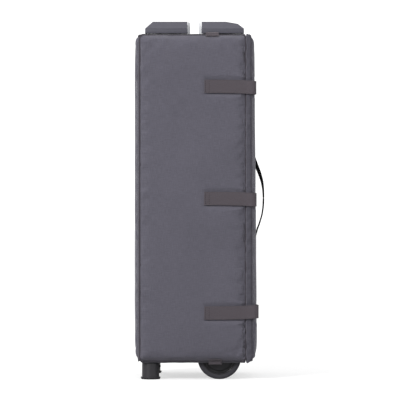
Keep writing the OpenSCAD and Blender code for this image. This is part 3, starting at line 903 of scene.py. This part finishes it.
    def stitching(self, side, turn, settings):
        """A row of stitches along the tape, above and below"""
        low, high = self.seam_box(side, turn, settings)
        ends, out, facing = settings.corner * 1.4, settings.binding_w * 0.2, (0, -1, 0)
        made = []
        for z in (low.z - out, high.z + out):
            out_at = settings.binding_t * 0.5 + 0.4 * float(slumped(side, z, settings))
            y = low.y + settings.seam_end - out_at
            made.append(stitch_row("row", (low.x + ends, y, z), (high.x - ends, y, z), settings.stitch,
                                   facing))
        piece = as_one(made, f"{side}_stitching")
        smooth(piece)
        put(piece, turn)
        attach(piece, BODY_OF_SIDE[side])

    def execute(self, context):
        settings = context.scene.playpen.mattress
        for side, turn in SIDES.items():
            for build in (self.pad, self.binding, self.stitching):
                build(side, turn, settings)
        return {"FINISHED"}


class PLAYPEN_OT_folds(bpy.types.Operator):
    """Make the strips of fabric that turn the mattress round its folded corners"""
    bl_idname = "playpen.folds"
    bl_label = "Folds"

    def execute(self, context):
        mattress = context.scene.playpen.mattress
        corner, bend, thickness = mattress.corner, 0.0068, 0.0012
        columns, cell, first_angle, arc_angle = 18, 0.006, 158, 134
        middle_at = bend + mattress.seam_in + 0.0006 - HALF
        for name, (turn, first, second) in FOLDS.items():
            low, high = local_box(f"fold_{name}", turn)
            # The fold strips take the darker copy of the mattress fabric: painted shade
            piece = grid(f"fold_{name}_cloth", columns, round((high.z - low.z) / cell), "Fold fabric")
            points = points_of(piece)
            share = points[:, 0] + 0.5
            angle = np.radians(first_angle + share * arc_angle)
            dip = corner * 0.75 * np.sin(share * math.pi) ** 0.7 - 0.001
            height = (points[:, 1] + 0.5) * (high.z - low.z - 2 * dip) + low.z + dip
            along = np.stack([share * 0.03, points[:, 1] * 0 + turn, height], axis=1)
            edges = np.abs(points[:, 0] * 2) ** 3
            loose = 0.0010 * wander(along, 70, turn + 200) * (0.35 + edges) + 0.0012 * (1 - edges)
            reach = bend + loose * 0.6
            set_points(piece, np.stack([middle_at + reach * np.cos(angle), middle_at + reach * np.sin(angle),
                                        height], axis=1))
            finish_with(piece, "SOLIDIFY", thickness=thickness, offset=0)
            outward(piece)
            smooth(piece)
            put(piece, turn)
            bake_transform(piece)
            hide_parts(f"fold_{name}")
        return {"FINISHED"}


# ---------------------------------------------------------------- straps and carry loop

class PLAYPEN_OT_straps(bpy.types.Operator):
    """Make the closing straps, bent loosely round the corner, with hemmed ends and box stitching"""
    bl_idname = "playpen.straps"
    bl_label = "Closing straps"

    droop = {"top": -0.0024, "middle": -0.0022, "bottom": 0.0026}
    loose = {"top": 0.92, "middle": 1.0, "bottom": 1.6}

    def execute(self, context):
        settings, mattress = context.scene.playpen.straps, context.scene.playpen.mattress
        pitch = mattress.stitch * 0.8
        anchor_high = local_box("strap_anchors")[1]
        for name in STRAPS:
            low, high = local_box(f"strap_{name}")
            width, middle = high.z - low.z, (low.z + high.z) / 2
            half_t = settings.thickness / 2
            face = low.y + half_t
            side = anchor_high.x - half_t + float(slumped("right", middle, mattress))
            bow, droop = settings.stand_off * self.loose[name], self.droop[name]
            under = face + settings.thickness + 0.0002
            plan = [(low.x + settings.hem, under), (low.x + settings.thickness, under)]
            plan += arc((low.x + settings.thickness, (face + under) / 2), (under - face) / 2, 90, 270, 7)
            plan += [(low.x + 0.03, face), (HALF - 0.022, face), (HALF - 0.012, face - 0.0006)]
            plan += arc((HALF + bow - 0.0085, -HALF - 0.0008 - bow * 0.4 + 0.0075), 0.0085, 262, 368, 10)
            plan += [(side + 0.0006, -HALF + 0.018), (side, -HALF + 0.026), (side, anchor_high.y)]
            path = [(x, y, middle + droop * min(1.2, max(0, (x - low.x - 0.04) / 0.06) ** 2))
                    for x, y in plan]
            piece = ribbon(f"{name}_strap_webbing", path, width, settings.thickness, "Strap webbing")
            put(piece)
            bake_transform(piece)
            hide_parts(f"strap_{name}")
            y, half_w = face - half_t, width / 2 - 0.0025
            rows = [stitch_row("row", (x, y, middle - half_w), (x, y, middle + half_w), pitch, (0, -1, 0))
                    for x in (low.x + 0.002, low.x + settings.hem - 0.002)]
            hem = put(as_one(rows, f"{name}_strap_hem"))
            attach(hem, f"{name}_strap")
            corner = (side + half_t, anchor_high.y - 0.030, path[-1][2] - half_w)
            box = stitch_box(f"{name}_strap_box", corner, (0, 0.027, 0), (0, 0, 2 * half_w), (1, 0, 0),
                             pitch)
            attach(box, "right_panel")
            if name == "top":
                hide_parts("strap_anchors")
        return {"FINISHED"}


class PLAYPEN_OT_carry_loop(bpy.types.Operator):
    """Make the carry loop in two lengths of webbing, each bending from its sewn end"""
    bl_idname = "playpen.carry_loop"
    bl_label = "Carry loop"

    def execute(self, context):
        settings, mattress = context.scene.playpen.straps, context.scene.playpen.mattress
        pitch = mattress.stitch * 0.8
        low, high = local_box("carry_handle")
        sewn_low, sewn_high = local_box("handle_anchors")
        thickness, width = 0.0031, high.y - low.y
        middle, out = (low.z + high.z) / 2, high.x - thickness / 2
        face = HALF + 0.0002 + thickness / 2
        for sign, name in ((1, "upper"), (-1, "lower")):
            end = (sewn_high.z if sign > 0 else sewn_low.z) - middle
            profile = [(out, 0.0), (out - 0.0006, 0.018), (out - 0.0032, 0.036), (out - 0.0082, 0.052),
                       (out - 0.0152, 0.066), (face + 0.0036, 0.0755), (face + 0.0006, 0.083), (face, 0.090),
                       (face, abs(end))]
            x, z = self.rounded(profile).T
            height = middle + sign * z
            out_at = x + ramp(z - 0.050, 0.030) * slumped("right", height, mattress)
            path = np.stack([out_at, z * 0, height], axis=1)
            lean = settings.twist if sign > 0 else settings.twist * 0.2

            def twist(share, lean=lean):
                return lean * np.sin(ramp(share, 0.84) ** 1.7 * math.pi)

            piece = ribbon(f"carry_webbing_{name}", path, width, thickness, "Carry webbing", up=(0, 1, 0),
                           twist=twist)
            put(piece)
            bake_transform(piece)
            if sign > 0:
                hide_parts("carry_handle", "handle_anchors")
            half_w, near = width / 2 - 0.002, 0.088
            corner = (path[-1][0] + thickness / 2 + 0.0002, -half_w, middle + sign * near)
            tall = sign * (abs(end) - 0.003 - near)
            box = stitch_box(f"carry_box_{name}", corner, (0, 0, tall), (0, 2 * half_w, 0), (1, 0, 0), pitch)
            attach(box, "right_panel")
        return {"FINISHED"}

    @staticmethod
    def rounded(profile):
        """A smooth line through the profile's points"""
        points = np.array(profile)
        knots = run_of(points)
        fine = np.linspace(0, knots[-1], 60)
        line = np.stack([np.interp(fine, knots, points[:, k]) for k in range(2)], axis=1)
        for _ in range(6):
            line[1:-1] = (line[:-2] + 2 * line[1:-1] + line[2:]) / 4
        return line


class PLAYPEN_OT_edge_tabs(bpy.types.Operator):
    """Make the webbing tabs folded over the mattress's top and bottom edges"""
    bl_idname = "playpen.edge_tabs"
    bl_label = "Edge tabs"

    def execute(self, context):
        high = local_box("edge_tabs")[1]
        pad_low, pad_high = local_box("front_cover")
        width, thickness = 0.027, 0.0013
        mattress = context.scene.playpen.mattress
        pitch = mattress.stitch * 0.8
        made = []
        seam = mattress.seam_end
        for sign, edge, x, inset, reach in ((1, pad_high.z, high.x - 0.0195, mattress.drop, 0.020),
                                            (-1, pad_low.z, high.x - 0.0135, mattress.rise, 0.014)):
            profile = []
            for back in np.linspace(0.0030, 0.0004, 4):
                rolled = seam * (1 - math.sqrt(1 - (1 - back / reach) ** 2))
                profile.append((pad_low.y + rolled - 0.0009, edge - sign * (inset + back)))
            start = profile[0]
            profile += [(pad_low.y + seam - 0.0010, edge - sign * (inset - 0.0022)),
                        (pad_low.y + seam - 0.0004, edge + sign * 0.0012),
                        (pad_low.y + seam + 0.0020, edge + sign * 0.0026),
                        (high.y - 0.0006, edge + sign * 0.0014)]
            path = [(x, y, z) for y, z in profile]
            made.append(ribbon("tab", path, width, thickness, "Strap webbing", up=(1, 0, 0), cell=0.001))
            y, z = start[0] + 0.0002, start[1] + sign * 0.0018
            made.append(stitch_row("tab_row", (x - width / 2 + 0.002, y, z), (x + width / 2 - 0.002, y, z),
                                   pitch, (0, -1, 0)))
        piece = as_one(made, "edge_tab_webbing")
        put(piece)
        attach(piece, "frame")
        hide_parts("edge_tabs")
        return {"FINISHED"}


# ---------------------------------------------------------------- hard parts

class PLAYPEN_OT_mouldings(bpy.types.Operator):
    """Round the edges of the moulded parts"""
    bl_idname = "playpen.mouldings"
    bl_label = "Mouldings"

    def execute(self, context):
        edge = context.scene.playpen.frame.edge
        for node, source in NODES.items():
            if SLOTS[node] not in ROUNDED:
                continue
            piece = source.copy()
            piece.data = source.data.copy()
            bpy.context.scene.collection.objects.link(piece)
            for key in [k for k in piece.keys() if k.startswith("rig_")]:
                del piece[key]
            piece.parent = None
            piece.hide_render = piece.hide_viewport = False
            piece.matrix_world = Matrix.Identity(4)
            take(piece)
            named(f"{node}_shell", FINISH_OF_SLOT[SLOTS[node]])
            with whole_mesh(piece):
                bpy.ops.mesh.remove_doubles(threshold=DOUBLE)
                bpy.ops.mesh.dissolve_limited(angle_limit=math.radians(1))
            smooth(bevel(piece, edge, 3, 38), 30)
            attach(piece, source["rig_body"])
            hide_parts(node)
        return {"FINISHED"}


class PLAYPEN_OT_rail_plugs(bpy.types.Operator):
    """Plug the upper ends of the folded rails, where they show in the gaps between the corner mouldings"""
    bl_idname = "playpen.rail_plugs"
    bl_label = "Rail plugs"

    def execute(self, context):
        clear, sunk, overlap = 0.0002, 0.0015, 0.0005
        cut = local_box("front_right_corner")[0].x - clear
        top = local_box("corner_caps")[1].z - sunk
        for side, turn in SIDES.items():
            low, high = local_box(f"{side}_rails", turn)
            radius = (high.y - low.y) / 2
            bottom = high.z - overlap
            made = []
            for sign in (-1, 1):
                bare()
                middle = (sign * (high.x - radius), low.y + radius, (top + bottom) / 2)
                bpy.ops.mesh.primitive_cylinder_add(vertices=48, radius=radius, depth=top - bottom,
                                                    location=middle)
                plug = settle(named("plug", "Plug plastic"))
                with whole_mesh(plug):
                    bpy.ops.mesh.bisect(plane_co=(sign * cut, 0, 0), plane_no=(sign, 0, 0), use_fill=True,
                                        clear_outer=True)
                made.append(smooth(bevel(plug, 0.0009, 3, 50), 40))
            piece = as_one(made, f"{side}_rail_plugs")
            put(piece, turn)
            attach(piece, "frame")
        return {"FINISHED"}


# ---------------------------------------------------------------- side fabric

class PLAYPEN_OT_side_fabric(bpy.types.Operator):
    """Gather each side's fabric and netting into pleats between the rails and the posts"""
    bl_idname = "playpen.side_fabric"
    bl_label = "Side fabric"

    flat_widths = {"front": 0.43, "right": 0.28, "back": 0.43, "left": 0.28}

    def execute(self, context):
        for side, turn in SIDES.items():
            low, high = local_box(f"{side}_wall", turn)
            flat_w, gap = self.flat_widths[side], self.gap(side, turn)
            for sign, label, x_range in ((-1, "a", (low.x, -gap)), (1, "b", (gap, high.x))):
                piece = self.pleats(f"{side}_wall_{label}", x_range, low, high, flat_w, turn + sign)
                put(piece, turn)
                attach(piece, "frame")
                if sign < 0:
                    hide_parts(f"{side}_wall")
        return {"FINISHED"}

    @staticmethod
    def gap(side, turn):
        """Where the two bundles of a side stop, out from its middle"""
        points = points_of(NODES[f"{side}_wall"]) - np.array(CENTRE)
        return float(np.abs((points @ np.array(turned(-turn)).T)[:, 0]).min())

    @staticmethod
    def pleats(name, x_range, low, high, flat_w, seed):
        """A bundle of pleats between two upright planes, netting in its middle and fabric at its ends"""
        wide, deep, tall = x_range[1] - x_range[0], high.y - low.y - 0.003, high.z - low.z
        legs, per_leg, rows = round(flat_w / deep), 6, 60
        piece = grid(name, legs * per_leg, rows, "Side fabric", "Side netting")
        points = points_of(piece)
        share, up = points[:, 0] + 0.5, points[:, 1] + 0.5
        swing = np.abs(((share * legs + 0.5) % 2) - 1)
        swing = swing * swing * (3 - 2 * swing)
        drift = wander(np.stack([share * 3, up * 0 + seed, up * 5], axis=1), 1.0, seed % 7)
        x = x_range[0] + 0.0008 + share * (wide - 0.0016) + 0.0003 * drift
        y = low.y + 0.0015 + deep * (0.06 + 0.88 * swing) + 0.0012 * drift
        set_points(piece, np.stack([x, y, low.z + up * tall], axis=1))
        scale_uv(piece, flat_w, tall)
        for face in piece.data.polygons:
            face.material_index = int(0.35 < (face.center.z - low.z) / tall < 0.86)
        finish_with(piece, "SOLIDIFY", thickness=0.0005, offset=0)
        return smooth(piece)


# ---------------------------------------------------------------- stage

class PLAYPEN_OT_stage(bpy.types.Operator):
    """Set up the floor, the soft lights and the camera"""
    bl_idname = "playpen.stage"
    bl_label = "Stage"

    def execute(self, context):
        scene, settings = context.scene, context.scene.playpen.stage
        bare()
        bpy.ops.mesh.primitive_plane_add(size=30)
        floor = bpy.context.object
        floor.name = "studio_floor"
        white = (1, 1, 1, 1)
        paper = Finish("Studio paper", Roughness=0.9, Specular_IOR_Level=0.1, Emission_Color=white)
        seen = paper.tree.add("ShaderNodeLightPath").outputs["Is Camera Ray"]
        paper.tree.join(paper.tree.calc("MULTIPLY", seen, 0.60), paper.shader.inputs["Emission Strength"])
        paper.colour(linear(settings.floor_colour), paper.tree.mottle(paper.object, 3.0, 2), 0.99, 1.01)
        floor.data.materials.append(paper.made)
        world = bpy.data.worlds.new("Studio")
        scene.world = world
        world.use_nodes = True
        sky = Tree(world.node_tree)
        seen = sky.add("ShaderNodeLightPath").outputs["Is Camera Ray"]
        height = sky.split(sky.add("ShaderNodeTexCoord").outputs["Generated"])["Z"]
        dome = sky.calc("MULTIPLY", sky.span(height, 0.2, 1.0, 1.0, 0.5), settings.ambient)
        strength = sky.calc("MAXIMUM", dome, sky.calc("MULTIPLY", seen, 1.05))
        sky.put(world.node_tree.nodes["Background"], Color=white, Strength=strength)
        lights = {"Key": ((-2.3, -2.7, 2.4), 0.9, 116), "Fill": ((2.6, -2.4, 1.5), 2.4, 10),
                  "Top": ((0.1, -0.3, 2.9), 1.2, 6)}
        for name, (place, size, power) in lights.items():
            light = bpy.data.lights.new(name, "AREA")
            light.size, light.energy = size, power
            self.aimed(scene, light, Vector(place), Vector((0, 0, 0.35)))
        lens = bpy.data.cameras.new("Camera")
        lens.sensor_width, lens.clip_end = 36, 100
        lens.lens = lens.sensor_width * settings.distance / settings.view_width
        aim = Vector((settings.aim_x, CENTRE.y - HALF, settings.aim_z))
        scene.camera = self.aimed(scene, lens, aim + Vector((0, -settings.distance, settings.rise)), aim)
        scene.view_settings.view_transform = "Standard"
        return {"FINISHED"}

    @staticmethod
    def aimed(scene, data, place, aim):
        """A light or camera at a place, looking at its aim"""
        made = bpy.data.objects.new(data.name, data)
        scene.collection.objects.link(made)
        made.location = place
        made.rotation_euler = (aim - place).to_track_quat("-Z", "Y").to_euler()
        return made


class PLAYPEN_PT_panel(bpy.types.Panel):
    bl_label = "Folded Playpen"
    bl_idname = "PLAYPEN_PT_panel"
    bl_space_type = "VIEW_3D"
    bl_region_type = "UI"
    bl_category = "Playpen"

    def draw(self, context):
        for step in STEPS:
            self.layout.operator(step.bl_idname)


STEPS = (PLAYPEN_OT_finishes, PLAYPEN_OT_panels, PLAYPEN_OT_folds, PLAYPEN_OT_straps, PLAYPEN_OT_carry_loop,
         PLAYPEN_OT_edge_tabs, PLAYPEN_OT_mouldings, PLAYPEN_OT_rail_plugs, PLAYPEN_OT_side_fabric,
         PLAYPEN_OT_stage)
CLASSES = (MattressSettings, StrapSettings, FrameSettings, StageSettings, PlaypenSettings, *STEPS,
           PLAYPEN_PT_panel)


def register():
    for each in CLASSES:
        bpy.utils.register_class(each)
    bpy.types.Scene.playpen = bpy.props.PointerProperty(type=PlaypenSettings)


def unregister():
    del bpy.types.Scene.playpen
    for each in reversed(CLASSES):
        bpy.utils.unregister_class(each)


def main():
    register()
    for step in STEPS:
        area, name = step.bl_idname.split(".")
        getattr(getattr(bpy.ops, area), name)()
    bpy.context.view_layer.update()


if __name__ == "__main__":
    main()
